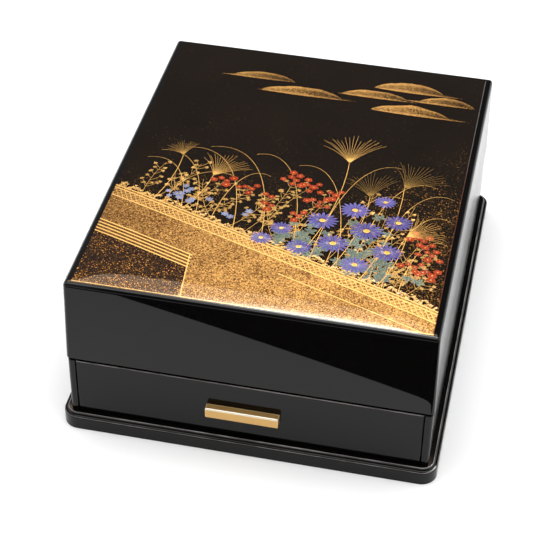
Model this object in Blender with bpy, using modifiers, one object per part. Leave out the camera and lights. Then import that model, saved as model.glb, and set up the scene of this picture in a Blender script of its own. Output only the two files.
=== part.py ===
"""Lacquered stationery box: a deep lid over an open compartment, with a drawer below and a moulded base.

Metres, +Z up. The origin is at the middle of the base's underside, and the drawer opens towards -Y.
"""
from math import cos, pi, sin

import bmesh
import bpy
from mathutils import Matrix

# Driving dimensions
CASE_WIDTH = 0.2633           # carcass, outside, along X
CASE_DEPTH = 0.3213           # carcass, outside, along Y
CASE_WALL = 0.0055            # sides and back beside the drawer
CORNER_RADIUS = 0.0028        # upright arrises of the carcass and the lid, and the lid's top arris
FIT_GAP = 0.0003              # between pieces that touch

BASE_OVERHANG = 0.0065        # how far the base stands out from the carcass all round
BASE_FACE_HEIGHT = 0.0098     # upright outer face of the base
BASE_ARRIS = 0.0010           # rounding above that face
BASE_COVE = 0.0020            # hollow of the moulding, as wide as it is high
BASE_BEAD = 0.0005            # rounding at the top of the hollow
BASE_CORNER_RADIUS = 0.0120   # plan corners of the base

BOTTOM_THICKNESS = 0.0030     # board under the drawer
SHOULDER_HEIGHT = 0.0622      # outer walls' top, above the floor that the box stands on
SHOULDER_ARRIS = 0.0010
SEAT_HEIGHT = 0.0642          # where the lid's rim rests
SEAT_SETBACK = 0.0014         # shadow groove below the lid
DIVIDER_DROP = 0.0020         # how far the divider hangs below the shoulder, behind the drawer front
DIVIDER_THICKNESS = 0.0050    # floor of the upper compartment
INNER_WALL = 0.0040           # compartment walls that rise inside the lid
INNER_CORNER_RADIUS = 0.0020
HEADROOM = 0.0085             # from the compartment walls' top to the lid's ceiling

LID_OVERHANG = 0.0007         # how far the lid's rim stands out from the carcass
LID_HEIGHT = 0.0685           # rim to the top's edge
LID_WALL = 0.0034
LID_BATTER = 0.020            # how far the walls lean in, for each unit of height
LID_CROWN = 0.0012            # rise of the top's middle above its edge
LID_CLEARANCE = 0.0006        # between the lid's walls and the compartment's

DRAWER_GAP = 0.0007           # beside and above the drawer front
DRAWER_RUN = 0.0006           # beside the drawer's sides
DRAWER_FRONT_THICKNESS = 0.0080
DRAWER_FRONT_ARRIS = 0.0006
DRAWER_WALL = 0.0045
DRAWER_BOTTOM = 0.0032
DRAWER_HEADROOM = 0.0030      # from the drawer's sides up to the divider
DRAWER_BACK_GAP = 0.0040      # behind the closed drawer
DRAWER_CORNER_RADIUS = 0.0020

PULL_LENGTH = 0.0535
PULL_HEIGHT = 0.0088
PULL_PROJECTION = 0.0056
PULL_ARRIS = 0.0007
PULL_OFFSET = -0.0030         # the pull sits a little left of the middle
PULL_ABOVE_BASE = 0.0228      # the pull's middle above the base's top

# Facets
CORNER_SEGMENTS = 5
ARRIS_SEGMENTS = 3
LID_GRID = (10, 12)           # squares of the lid's crowned top

# Sizes that follow
BASE_HEIGHT = BASE_FACE_HEIGHT + BASE_ARRIS + BASE_COVE + BASE_BEAD
CASE_FOOT = BASE_HEIGHT + FIT_GAP
BAY_FLOOR = CASE_FOOT + BOTTOM_THICKNESS
BAY_CEILING = SHOULDER_HEIGHT - DIVIDER_DROP
COMPARTMENT_FLOOR = BAY_CEILING + DIVIDER_THICKNESS
LID_RIM = SEAT_HEIGHT + FIT_GAP
LID_TOP = LID_RIM + LID_HEIGHT
LID_CEILING = LID_TOP - LID_WALL
LID_INSET = LID_BATTER * LID_HEIGHT                 # lean of a wall over its whole height
INNER_TOP = LID_CEILING - HEADROOM
INNER_SETBACK = LID_WALL - LID_OVERHANG + LID_INSET + LID_CLEARANCE
DRAWER_FRONT_BOTTOM = BASE_HEIGHT + DRAWER_GAP
DRAWER_FRONT_TOP = SHOULDER_HEIGHT - DRAWER_GAP
FRONT_Y = -CASE_DEPTH / 2
BAY_WIDTH = CASE_WIDTH - 2 * CASE_WALL

LACQUER = (0.012, 0.011, 0.011)
SATIN_LACQUER = (0.018, 0.016, 0.016)
GOLD = (0.66, 0.45, 0.19)


def clear_scene():
    """Leaves an empty scene."""
    for old in list(bpy.data.objects):
        bpy.data.objects.remove(old, do_unlink=True)


def make_collection(name):
    """A new collection in the scene."""
    group = bpy.data.collections.new(name)
    bpy.context.scene.collection.children.link(group)
    return group


def make_material(name, color, roughness, metallic=0.0):
    """A plain Principled finish."""
    material = bpy.data.materials.new(name)
    material.use_nodes = True
    shader = material.node_tree.nodes["Principled BSDF"]
    shader.inputs["Base Color"].default_value = (*color, 1.0)
    shader.inputs["Roughness"].default_value = roughness
    shader.inputs["Metallic"].default_value = metallic
    material.diffuse_color = (*color, 1.0)
    return material


def box_mesh(low, high):
    """A bmesh box between two corners."""
    bm = bmesh.new()
    size = [b - a for a, b in zip(low, high)]
    middle = [(a + b) / 2 for a, b in zip(low, high)]
    bmesh.ops.create_cube(bm, size=1.0, matrix=Matrix.Translation(middle) @ Matrix.Diagonal((*size, 1.0)))
    return bm


def upright_edges(bm):
    """The edges that run along Z."""
    return [e for e in bm.edges if abs((e.verts[0].co - e.verts[1].co).normalized().z) > 0.9]


def round_edges(bm, edges, radius, segments):
    """Rounds some edges of a bmesh."""
    bmesh.ops.bevel(bm, geom=edges, offset=radius, offset_type="OFFSET", segments=segments, profile=0.5,
                    affect="EDGES", clamp_overlap=True)


def add_object(name, bm, group, material=None):
    """An object made from a bmesh."""
    bmesh.ops.recalc_face_normals(bm, faces=bm.faces)
    mesh = bpy.data.meshes.new(name)
    bm.to_mesh(mesh)
    bm.free()
    made = bpy.data.objects.new(name, mesh)
    group.objects.link(made)
    if material:
        mesh.materials.append(material)
    return made


def rounded_box(low, high, radius, segments=CORNER_SEGMENTS):
    """A box with rounded upright edges."""
    bm = box_mesh(low, high)
    round_edges(bm, upright_edges(bm), radius, segments)
    return bm


def centred(width, depth, bottom, top):
    """Corners of a box about the Z axis."""
    return (-width / 2, -depth / 2, bottom), (width / 2, depth / 2, top)


def cut_or_join(target, tool, operation):
    """Adds a Boolean with another object, which is only a guide."""
    modifier = target.modifiers.new(f"{operation.lower()} {tool.name}", "BOOLEAN")
    modifier.operation = operation
    modifier.object = tool
    modifier.solver = "EXACT"
    tool.hide_render = True
    tool.display_type = "WIRE"


def arc_steps(radius, start, end, segments):
    """Inward and upward steps along an arc, between two angles measured from the outward direction."""
    angles = [start + (end - start) * i / segments for i in range(segments + 1)]
    points = [(radius * cos(a), radius * sin(a)) for a in angles]
    return [(x0 - x1, z1 - z0) for (x0, z0), (x1, z1) in zip(points, points[1:])]


def cove_steps(size, segments):
    """Inward and upward steps up a quarter-round hollow."""
    angles = [pi / 2 * i / segments for i in range(segments + 1)]
    points = [(size * sin(a), size * (1 - cos(a))) for a in angles]
    return [(x1 - x0, z1 - z0) for (x0, z0), (x1, z1) in zip(points, points[1:])]


def base_profile():
    """The moulding above the base's upright face, as inward and upward steps."""
    arris = arc_steps(BASE_ARRIS, 0, pi / 2, ARRIS_SEGMENTS)
    cove = cove_steps(BASE_COVE, ARRIS_SEGMENTS + 1)
    bead = arc_steps(BASE_BEAD, 0, pi / 2, ARRIS_SEGMENTS - 1)
    return arris + cove + bead


def make_base(group, material):
    """The plinth board, raised from its plan step by step along the moulding."""
    width = CASE_WIDTH + 2 * BASE_OVERHANG
    depth = CASE_DEPTH + 2 * BASE_OVERHANG
    bm = rounded_box(*centred(width, depth, 0, BASE_FACE_HEIGHT), BASE_CORNER_RADIUS, 2 * CORNER_SEGMENTS)
    top = max(bm.faces, key=lambda f: f.calc_center_median().z)
    for inward, upward in base_profile():
        bmesh.ops.inset_region(bm, faces=[top], thickness=inward, depth=upward, use_even_offset=True)
    return add_object("base", bm, group, material)


def case_shell(group, material):
    """The outer block of the carcass, up to the shoulder, with its upright and shoulder arrises rounded."""
    bm = rounded_box(*centred(CASE_WIDTH, CASE_DEPTH, CASE_FOOT, SHOULDER_HEIGHT), CORNER_RADIUS)
    rim = [e for e in bm.edges if all(v.co.z > SHOULDER_HEIGHT - FIT_GAP for v in e.verts)]
    round_edges(bm, rim, SHOULDER_ARRIS, ARRIS_SEGMENTS)
    return add_object("case", bm, group, material)


def make_case(group, cutters, material):
    """The carcass: drawer bay below, seat for the lid, and an open compartment with its walls above."""
    case = case_shell(group, material)
    overlap = SHOULDER_HEIGHT - SEAT_SETBACK
    seat = add_object("lid_seat", rounded_box(
        *centred(CASE_WIDTH - 2 * SEAT_SETBACK, CASE_DEPTH - 2 * SEAT_SETBACK, overlap, SEAT_HEIGHT),
        CORNER_RADIUS - SEAT_SETBACK), cutters)
    wall_size = (CASE_WIDTH - 2 * INNER_SETBACK, CASE_DEPTH - 2 * INNER_SETBACK)
    walls = add_object("compartment_walls", rounded_box(*centred(*wall_size, overlap, INNER_TOP),
                                                        INNER_CORNER_RADIUS), cutters)
    hollow_size = [size - 2 * INNER_WALL for size in wall_size]
    hollow = add_object("compartment_hollow", rounded_box(
        *centred(*hollow_size, COMPARTMENT_FLOOR, INNER_TOP + INNER_WALL), INNER_CORNER_RADIUS), cutters)
    bay = add_object("drawer_bay", box_mesh(
        (-BAY_WIDTH / 2, FRONT_Y - CASE_WALL, BAY_FLOOR),
        (BAY_WIDTH / 2, CASE_DEPTH / 2 - CASE_WALL, BAY_CEILING)), cutters)
    front_depth = DRAWER_FRONT_THICKNESS + FIT_GAP
    front = add_object("drawer_front_recess", box_mesh(
        (-BAY_WIDTH / 2, FRONT_Y - CASE_WALL, CASE_FOOT - CASE_WALL),
        (BAY_WIDTH / 2, FRONT_Y + front_depth, SHOULDER_HEIGHT + FIT_GAP)), cutters)
    cut_or_join(case, seat, "UNION")
    cut_or_join(case, walls, "UNION")
    cut_or_join(case, hollow, "DIFFERENCE")
    cut_or_join(case, bay, "DIFFERENCE")
    cut_or_join(case, front, "DIFFERENCE")
    return case


def lid_shell():
    """An open box with a gridded top: the lid's outer skin before its wall gets a thickness."""
    width = CASE_WIDTH + 2 * LID_OVERHANG
    depth = CASE_DEPTH + 2 * LID_OVERHANG
    across, along = LID_GRID
    bm = bmesh.new()
    bmesh.ops.create_grid(bm, x_segments=across, y_segments=along, size=0.5,
                          matrix=Matrix.Translation((0, 0, LID_TOP)) @ Matrix.Diagonal((width, depth, 1, 1)))
    rim = [e for e in bm.edges if e.is_boundary]
    skirt = bmesh.ops.extrude_edge_only(bm, edges=rim)["geom"]
    for vertex in (g for g in skirt if isinstance(g, bmesh.types.BMVert)):
        vertex.co.z = LID_RIM
    bmesh.ops.recalc_face_normals(bm, faces=bm.faces)
    return bm, width, depth


def shape_lid(bm, width, depth):
    """Leans the walls in and crowns the top."""
    for vertex in bm.verts:
        x, y, z = vertex.co
        if z > LID_TOP - FIT_GAP:
            vertex.co.z += LID_CROWN * (1 - (2 * x / width) ** 2) * (1 - (2 * y / depth) ** 2)
        lean = LID_BATTER * (min(z, LID_TOP) - LID_RIM)
        vertex.co.x *= 1 - 2 * lean / width
        vertex.co.y *= 1 - 2 * lean / depth


def mark_arrises(bm, width, depth):
    """Gives the outer corners' edges the weight that the Bevel modifier reads."""
    weight = bm.edges.layers.float.new("bevel_weight_edge")
    for edge in bm.edges:
        ends = [v.co for v in edge.verts]
        corner = all(abs(p.x) > width / 2 - FIT_GAP and abs(p.y) > depth / 2 - FIT_GAP for p in ends)
        at_top = all(p.z > LID_TOP - FIT_GAP for p in ends)
        at_side = (all(abs(p.x) > width / 2 - FIT_GAP for p in ends)
                   or all(abs(p.y) > depth / 2 - FIT_GAP for p in ends))
        edge[weight] = 1.0 if corner or (at_top and at_side) else 0.0


def make_lid(group, material):
    """The deep lid: four leaning walls and a crowned top, hollow, with all its outer arrises rounded."""
    bm, width, depth = lid_shell()
    mark_arrises(bm, width, depth)
    shape_lid(bm, width, depth)
    lid = add_object("lid", bm, group, material)
    shell = lid.modifiers.new("wall", "SOLIDIFY")
    shell.thickness = LID_WALL
    shell.offset = -1.0
    shell.use_even_offset = True
    shell.use_quality_normals = True
    arris = lid.modifiers.new("arrises", "BEVEL")
    arris.limit_method = "WEIGHT"
    arris.width = CORNER_RADIUS
    arris.segments = CORNER_SEGMENTS
    return lid


def make_drawer(group, cutters, material):
    """The drawer: a front between the posts and a hollow box behind it, modelled about its slide's parent."""
    front_width = BAY_WIDTH - 2 * DRAWER_GAP
    bm = box_mesh((-front_width / 2, 0, DRAWER_FRONT_BOTTOM),
                  (front_width / 2, DRAWER_FRONT_THICKNESS, DRAWER_FRONT_TOP))
    face_edges = [e for e in bm.edges if all(v.co.y < FIT_GAP for v in e.verts)]
    round_edges(bm, face_edges, DRAWER_FRONT_ARRIS, ARRIS_SEGMENTS)
    drawer = add_object("drawer", bm, group, material)
    width = BAY_WIDTH - 2 * DRAWER_RUN
    back = CASE_DEPTH - CASE_WALL - DRAWER_BACK_GAP
    bottom = BAY_FLOOR + FIT_GAP
    top = BAY_CEILING - DRAWER_HEADROOM
    body = add_object("drawer_box", box_mesh((-width / 2, DRAWER_FRONT_THICKNESS / 2, bottom),
                                             (width / 2, back, top)), cutters)
    hollow = add_object("drawer_hollow", rounded_box(
        (-width / 2 + DRAWER_WALL, DRAWER_FRONT_THICKNESS, bottom + DRAWER_BOTTOM),
        (width / 2 - DRAWER_WALL, back - DRAWER_WALL, top + DRAWER_WALL), DRAWER_CORNER_RADIUS), cutters)
    cut_or_join(drawer, body, "UNION")
    cut_or_join(drawer, hollow, "DIFFERENCE")
    for piece in (drawer, body, hollow):
        piece.location.y = FRONT_Y
    return drawer


def make_pull(group, material):
    """The bar on the drawer front."""
    middle = BASE_HEIGHT + PULL_ABOVE_BASE
    back = FRONT_Y - FIT_GAP
    bm = box_mesh((PULL_OFFSET - PULL_LENGTH / 2, back - PULL_PROJECTION, middle - PULL_HEIGHT / 2),
                  (PULL_OFFSET + PULL_LENGTH / 2, back, middle + PULL_HEIGHT / 2))
    free = [e for e in bm.edges if any(v.co.y < back - FIT_GAP for v in e.verts)]
    round_edges(bm, free, PULL_ARRIS, ARRIS_SEGMENTS)
    return add_object("drawer_pull", bm, group, material)


def main():
    """Builds the box."""
    clear_scene()
    box = make_collection("stationery_box")
    cutters = make_collection("cutters")
    lacquer = make_material("gloss_lacquer", LACQUER, 0.08)
    satin = make_material("satin_lacquer", SATIN_LACQUER, 0.3)
    gold = make_material("gilt_metal", GOLD, 0.28, 1.0)
    make_base(box, lacquer)
    make_case(box, cutters, satin)
    make_lid(box, lacquer)
    make_drawer(box, cutters, lacquer)
    make_pull(box, gold)


if __name__ == "__main__":
    main()
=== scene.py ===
"""Black lacquer stationery box, its lid sprinkled with gold and painted with autumn grasses.

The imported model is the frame: every piece here stands where that model puts it, in metres.
"""
from functools import reduce
from math import atan2, comb, cos, hypot, pi, radians, sin
from random import Random

import bmesh
import bpy
from bpy.props import FloatProperty, FloatVectorProperty, IntProperty, PointerProperty
from mathutils import Matrix, Vector


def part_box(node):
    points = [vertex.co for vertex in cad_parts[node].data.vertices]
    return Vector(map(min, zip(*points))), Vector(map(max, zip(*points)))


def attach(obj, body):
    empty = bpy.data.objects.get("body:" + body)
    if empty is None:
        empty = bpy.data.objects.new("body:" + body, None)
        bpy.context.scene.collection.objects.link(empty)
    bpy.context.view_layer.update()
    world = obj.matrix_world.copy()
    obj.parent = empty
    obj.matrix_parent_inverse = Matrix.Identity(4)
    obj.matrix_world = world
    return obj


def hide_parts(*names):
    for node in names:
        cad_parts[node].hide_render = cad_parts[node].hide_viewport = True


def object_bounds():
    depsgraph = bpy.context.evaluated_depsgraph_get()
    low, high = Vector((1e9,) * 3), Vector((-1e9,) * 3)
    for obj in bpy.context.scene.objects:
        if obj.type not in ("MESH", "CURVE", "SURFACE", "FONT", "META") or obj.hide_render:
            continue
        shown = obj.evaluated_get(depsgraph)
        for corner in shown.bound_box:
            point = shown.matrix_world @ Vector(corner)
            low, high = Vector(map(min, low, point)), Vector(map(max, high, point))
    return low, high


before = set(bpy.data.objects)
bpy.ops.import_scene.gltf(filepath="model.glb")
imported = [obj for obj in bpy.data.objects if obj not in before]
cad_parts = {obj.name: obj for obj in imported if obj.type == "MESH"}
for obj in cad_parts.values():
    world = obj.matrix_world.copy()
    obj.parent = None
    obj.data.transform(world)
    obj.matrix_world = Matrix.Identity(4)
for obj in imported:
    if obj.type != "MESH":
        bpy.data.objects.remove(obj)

bl_info = {
    "name": "Lacquered Stationery Box",
    "version": (1, 0, 0),
    "blender": (4, 5, 0),
    "location": "3D View > Sidebar > Lacquer Box",
    "description": "Builds a black lacquer box with a gold-sprinkled lid around its packed frame",
    "category": "Object",
}

CAD_LOW, CAD_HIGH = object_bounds()
LID_LOW, LID_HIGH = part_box("lid")
MM = 0.001


def size(name, description, default, unit="LENGTH"):
    """A length, an angle, or a plain number where the unit is NONE."""
    return FloatProperty(name=name, description=description, default=default, unit=unit, precision=5)


def paint(name, description, default):
    """A colour that the user may change."""
    return FloatVectorProperty(name=name, description=description, default=default, subtype="COLOR",
                               size=3, min=0.0, max=1.0)


class LacquerSettings(bpy.types.PropertyGroup):
    """The polished black ground."""
    black: paint("Black", "Polished lacquer", (0.0024, 0.0021, 0.0020))
    # Painted highlight: the pale colour of the lines painted along the lacquer's edges, standing in for
    # mirrored light on their roundings.
    arris: paint("Arris", "Tone where the polish thins at an edge", (0.30, 0.275, 0.27))
    inside: paint("Inside", "Satin lacquer inside the box", (0.011, 0.0095, 0.0092))
    ior: size("Index", "Refractive index of the lacquer", 1.31, "NONE")
    gloss: size("Gloss", "Roughness of the polished front, back and top", 0.035, "NONE")
    side_gloss: size("Side gloss", "Roughness of the sides, which are rubbed less", 0.16, "NONE")
    satin: size("Satin", "Roughness inside", 0.32, "NONE")


class LidSettings(bpy.types.PropertyGroup):
    """Shape of the lid; its outline comes from the frame."""
    wall: size("Wall", "Thickness of the lid's walls and top", 0.0034)
    batter: size("Batter", "Lean of the walls for each unit of height", 0.020, "NONE")
    crown: size("Crown", "Rise of the top's middle above its edge", 0.0012)
    relief: size("Relief", "Room kept above the top for the raised figures", 0.0003)
    arris: size("Arris", "Rounding of the outer edges", 0.0050)
    side_border: size("Side border", "Plain black strip beside the picture", 0.0054)
    back_border: size("Back border", "Plain black strip behind the picture", 0.0044)
    front_border: size("Front border", "Plain black strip before the picture", 0.0041)


class BaseSettings(bpy.types.PropertyGroup):
    """Moulding of the base; its outline comes from the frame."""
    corner: size("Corner", "Plan radius of the corners", 0.0120)
    arris: size("Arris", "Rounding above the upright face", 0.0010)
    cove: size("Cove", "Hollow of the moulding, as wide as it is high", 0.0020)
    bead: size("Bead", "Rounding at the top of the hollow", 0.0005)


class PictureSettings(bpy.types.PropertyGroup):
    """Colours and relief of the lid's picture."""
    gold: paint("Gold", "Bright gold grains", (0.68, 0.380, 0.114))
    deep_gold: paint("Deep gold", "Ground between the grains", (0.055, 0.018, 0.0045))
    line_gold: paint("Line gold", "Drawn gold lines", (0.86, 0.52, 0.165))
    olive: paint("Olive", "Small leaves", (0.15, 0.090, 0.024))
    dust: paint("Dust", "Flakes in the dark ground", (0.40, 0.185, 0.036))
    ground: paint("Ground", "Dark ground of the picture", (0.0115, 0.0078, 0.0056))
    violet: paint("Violet", "Daisy petals", (0.128, 0.110, 0.36))
    violet_rim: paint("Violet rim", "Edges of the daisy petals", (0.26, 0.23, 0.58))
    red: paint("Red", "Small flowers", (0.40, 0.034, 0.014))
    red_rim: paint("Red rim", "Edges of the small flowers", (0.56, 0.105, 0.030))
    sage: paint("Sage", "Broad leaves", (0.140, 0.190, 0.155))
    sage_rim: paint("Sage rim", "Edges of the broad leaves", (0.42, 0.43, 0.30))
    sky: paint("Sky", "Pale blue flowers", (0.19, 0.24, 0.44))
    sky_rim: paint("Sky rim", "Edges of the pale blue flowers", (0.38, 0.43, 0.60))
    heart: paint("Heart", "Middles of the flowers", (0.74, 0.38, 0.060))
    leaf_gold: paint("Leaf gold", "Small leaves, inside their gold edges", (0.40, 0.22, 0.055))
    stem_gold: paint("Stem gold", "Stems, blades and plumes", (0.72, 0.42, 0.120))
    corner: paint("Corner", "Ground of the dark corner", (0.024, 0.0145, 0.0115))
    corner_dust: paint("Corner dust", "Flakes in the dark corner", (0.76, 0.33, 0.062))
    cloud: paint("Cloud", "Thin gold of the clouds", (0.24, 0.105, 0.020))
    lip: paint("Lip", "Granular line along the picture's front", (0.95, 0.58, 0.20))
    # Painted reflection: a slightly paler band on the lid's black border at the left of the top.
    strip: paint("Strip", "Plain lacquer at the front left", (0.0095, 0.0090, 0.0090))
    frame_front: paint("Frame front", "Line beside the picture, at the front", (0.085, 0.026, 0.016))
    # Painted highlight: the grey colour of the line beside the picture, towards the back.
    frame_back_highlight: paint("Frame back", "Line beside the picture, at the back", (0.12, 0.11, 0.105))
    wear: paint("Wear", "Red ground that shows along the outer edge", (0.050, 0.010, 0.006))
    squash: size("Squash", "Depth of a round figure for each unit of its width", 0.82, "NONE")
    seed: IntProperty(name="Seed", description="Seed of the garden", default=11, min=0)


class PullSettings(bpy.types.PropertyGroup):
    """The bar on the drawer."""
    metal: paint("Metal", "Gilt", (0.74, 0.44, 0.145))
    # Painted highlight: lighter gilt beside the bar's edges.
    near: paint("Near", "Gilt beside its edges", (1.0, 0.72, 0.34))
    # Painted highlight: near-white gilt along the bar's top front edge.
    edge: paint("Edge", "Gilt where it is rubbed bright along its edges", (1.0, 0.92, 0.74))
    arris: size("Arris", "Rounding of the bar's edges", 0.0011)


class StudioSettings(bpy.types.PropertyGroup):
    """Camera, lights and floor."""
    eye: FloatVectorProperty(name="Eye", description="Camera position", subtype="TRANSLATION", unit="LENGTH",
                             default=(0.1828, -0.9896, 0.8850), precision=4)
    yaw: size("Yaw", "Camera turned left of +Y", radians(11.604), "ROTATION")
    pitch: size("Pitch", "Camera tilted down", radians(39.985), "ROTATION")
    roll: size("Roll", "Camera turned about its own axis", radians(-0.830), "ROTATION")
    lens: size("Lens", "Focal length in millimetres on a 36 mm frame", 113.5, "NONE")
    floor: paint("Floor", "Pale table", (0.95, 0.95, 0.95))
    haze: paint("Haze", "Colour of the light mirrored by the lid's front", (1.0, 0.72, 0.52))
    haze_radiance: size("Haze radiance", "Brightness of that light", 4.6, "NONE")


def math_method(operation, flipped=False):
    """A method of Wire that makes one Math node; flipped puts the Wire last."""
    def method(self, *others):
        values = (*others, self) if flipped else (self, *others)
        return node(self.tree, "ShaderNodeMath", {"operation": operation}, dict(enumerate(values)))
    return method


class Wire:
    """A socket that Python's operators turn into Math nodes."""

    def __init__(self, tree, socket):
        self.tree = tree
        self.socket = socket

    __add__ = __radd__ = math_method("ADD")
    __sub__ = math_method("SUBTRACT")
    __rsub__ = math_method("SUBTRACT", flipped=True)
    __mul__ = __rmul__ = math_method("MULTIPLY")
    __truediv__ = math_method("DIVIDE")
    __pow__ = math_method("POWER")
    __abs__ = math_method("ABSOLUTE")
    least = math_method("MINIMUM")
    most = math_method("MAXIMUM")
    fraction = math_method("FRACT")
    sine = math_method("SINE")

    def ramp(self, low, high):
        """0 at low, 1 at high and smooth between; low may be the larger."""
        return node(self.tree, "ShaderNodeMapRange", {"interpolation_type": "SMOOTHSTEP"},
                    {"Value": self, "From Min": low, "From Max": high})

    def step(self, soft=0.1 * MM):
        """0 below zero and 1 above it, over a soft edge."""
        return self.ramp(-soft, soft)


def node(tree, kind, settings=None, inputs=None, output=0):
    """Adds a node, sets its settings, then its sockets' values or links, and returns one output as a Wire."""
    made = tree.nodes.new(kind)
    for name, value in (settings or {}).items():
        setattr(made, name, value)
    for key, value in (inputs or {}).items():
        socket = made.inputs[key]
        if isinstance(value, Wire):
            tree.links.new(value.socket, socket)
        elif isinstance(value, bpy.types.NodeSocket):
            tree.links.new(value, socket)
        elif isinstance(value, (tuple, list)) and len(value) == 3 and socket.type == "RGBA":
            socket.default_value = (*value, 1.0)
        else:
            socket.default_value = value
    return Wire(tree, made.outputs[output])


def mixed(tree, factor, low, high):
    """A colour between two others, each a Wire or three numbers."""
    low, high = [c if isinstance(c, Wire) else tuple(c) for c in (low, high)]
    return node(tree, "ShaderNodeMix", {"data_type": "RGBA"}, {0: factor, 6: low, 7: high}, 2)


def parts_of(tree, vector):
    """The X, Y and Z of a vector."""
    split = tree.nodes.new("ShaderNodeSeparateXYZ")
    tree.links.new(vector.socket, split.inputs[0])
    return [Wire(tree, s) for s in split.outputs]


def coordinates(tree):
    """The object's own X, Y and Z, and the vector itself."""
    vector = node(tree, "ShaderNodeTexCoord", output="Object")
    return [*parts_of(tree, vector), vector]


def noise(tree, vector, scale, detail=2.0, roughness=0.5):
    """Soft noise from 0 to 1."""
    return node(tree, "ShaderNodeTexNoise", None,
                {"Vector": vector, "Scale": scale, "Detail": detail, "Roughness": roughness})


def cells(tree, vector, scale):
    """Cells: the distance from each one's middle, and a number of its own from 0 to 1."""
    made = tree.nodes.new("ShaderNodeTexVoronoi")
    made.inputs["Scale"].default_value = scale
    tree.links.new(vector.socket, made.inputs["Vector"])
    own = node(tree, "ShaderNodeSeparateColor", None, {0: made.outputs["Color"]})
    return Wire(tree, made.outputs["Distance"]), own


def new_material(name, fixed):
    """A Principled material with its constant sockets set."""
    material = bpy.data.materials.new(name)
    material.use_nodes = True
    shader = material.node_tree.nodes["Principled BSDF"]
    for key, value in fixed.items():
        shader.inputs[key].default_value = value
    return material, material.node_tree, shader


def feed(tree, shader, links):
    """Links Wires into a shader's sockets."""
    for key, wire in links.items():
        tree.links.new(wire.socket, shader.inputs[key])


def edge_nearness(x, y, z, low, high):
    """The middle one of a point's distances from a box's sides and top: small only beside an edge."""
    ax = (high[0] - low[0]) / 2 - abs(x)
    ay = (high[1] - low[1]) / 2 - abs(y)
    az = high[2] - z
    return ax.least(ay).most(ax.most(ay).least(az))


def side_blend(tree, rough):
    """A mirror's roughness on the front, back and top, and the duller one on the left and right sides."""
    look = bpy.context.scene.box_lacquer
    normal = node(tree, "ShaderNodeTexCoord", output="Normal")
    side = abs(parts_of(tree, normal)[0]).ramp(0.80, 0.97)
    return rough * (1 - side) + look.side_gloss * side


def bump(tree, height, strength, distance):
    """A small relief in the surface's normal."""
    return node(tree, "ShaderNodeBump", None, {"Strength": strength, "Distance": distance, "Height": height})


def lacquer_material(name, near_edge, sides=True):
    """Mirror-polished black with a painted highlight: a pale line along the edges, by near_edge of X, Y and
    Z.
    """
    look = bpy.context.scene.box_lacquer
    material, tree, shader = new_material(name, {"IOR": look.ior})
    x, y, z, vector = coordinates(tree)
    patch = noise(tree, vector, 60.0).ramp(0.35, 0.65)
    rough = look.gloss * (0.8 + 0.5 * noise(tree, vector, 9.0, 3.0))
    feed(tree, shader, {
        # The pale line mixed in along the edges is a painted highlight.
        "Base Color": mixed(tree, near_edge(x, y, z) * (0.45 + 0.55 * patch), look.black, look.arris),
        "Roughness": side_blend(tree, rough) if sides else rough,
        "Normal": bump(tree, noise(tree, vector, 220.0, 1.0), 0.02, 0.2 * MM)})
    return material


def side_material():
    """The lid's sides, rubbed less than its top and front."""
    look = bpy.context.scene.box_lacquer
    material, tree, shader = new_material("lid_sides", {"IOR": look.ior})
    cloud = noise(tree, coordinates(tree)[3], 12.0, 3.0)
    feed(tree, shader, {"Base Color": mixed(tree, cloud, look.black, 1.6 * look.black),
                        "Roughness": look.side_gloss * (0.92 + 0.16 * cloud)})
    return material


def satin_material():
    """Satin black for the inside of the box and the drawer."""
    look = bpy.context.scene.box_lacquer
    material, tree, shader = new_material("satin_black", {"IOR": look.ior})
    vector = coordinates(tree)[3]
    grain = noise(tree, vector, 400.0, 3.0)
    cloud = noise(tree, vector, 14.0).ramp(0.3, 0.7)
    feed(tree, shader, {"Base Color": mixed(tree, cloud, 0.75 * look.inside, look.inside),
                        "Roughness": look.satin * (0.85 + 0.3 * grain),
                        "Normal": bump(tree, grain, 0.08, 0.2 * MM)})
    return material


def under_lacquer(name, coat, metal=0.0):
    """A matt material under clear lacquer; coat is what the layer adds to the lacquer's index."""
    ior = bpy.context.scene.box_lacquer.ior
    return new_material(name, {"IOR": ior, "Specular IOR Level": 0.0, "Metallic": metal, "Coat Weight": 1.0,
                               "Coat IOR": ior + coat, "Coat Roughness": 0.02})


def smooth(mesh, angle=40.0):
    """Smooth faces, sharp edges past an angle."""
    mesh.shade_smooth()
    mesh.set_sharp_from_angle(angle=radians(angle))


def add_object(name, bm):
    """An object made from a bmesh."""
    mesh = bpy.data.meshes.new(name)
    bm.to_mesh(mesh)
    bm.free()
    made = bpy.data.objects.new(name, mesh)
    bpy.context.scene.collection.objects.link(made)
    return made


def make_plain(obj):
    """Turns an object and its live modifiers into a plain mesh object at the origin."""
    bpy.context.view_layer.update()
    graph = bpy.context.evaluated_depsgraph_get()
    mesh = bpy.data.meshes.new_from_object(obj.evaluated_get(graph), depsgraph=graph)
    old = obj.data
    obj.modifiers.clear()
    obj.data = mesh
    mesh.name = obj.name
    bpy.data.meshes.remove(old)
    return obj


def soften_normals(obj):
    """Keeps the big flat faces flat beside their roundings."""
    modifier = obj.modifiers.new("normals", "WEIGHTED_NORMAL")
    modifier.keep_sharp = True
    modifier.weight = 80


def finish_piece(obj, body, replaces=()):
    """Puts a finished piece on its body."""
    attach(obj, body)
    if replaces:
        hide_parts(*replaces)


def box_bmesh(low, high):
    """A box between two corners."""
    bm = bmesh.new()
    span = [b - a for a, b in zip(low, high)]
    middle = [(a + b) / 2 for a, b in zip(low, high)]
    bmesh.ops.create_cube(bm, size=1.0, matrix=Matrix.Translation(middle) @ Matrix.Diagonal((*span, 1.0)))
    return bm


def bevel(bm, edges, width, segments):
    """Rounds edges."""
    bmesh.ops.bevel(bm, geom=edges, offset=width, offset_type="OFFSET", segments=segments, profile=0.5,
                    affect="EDGES", clamp_overlap=True)


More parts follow.
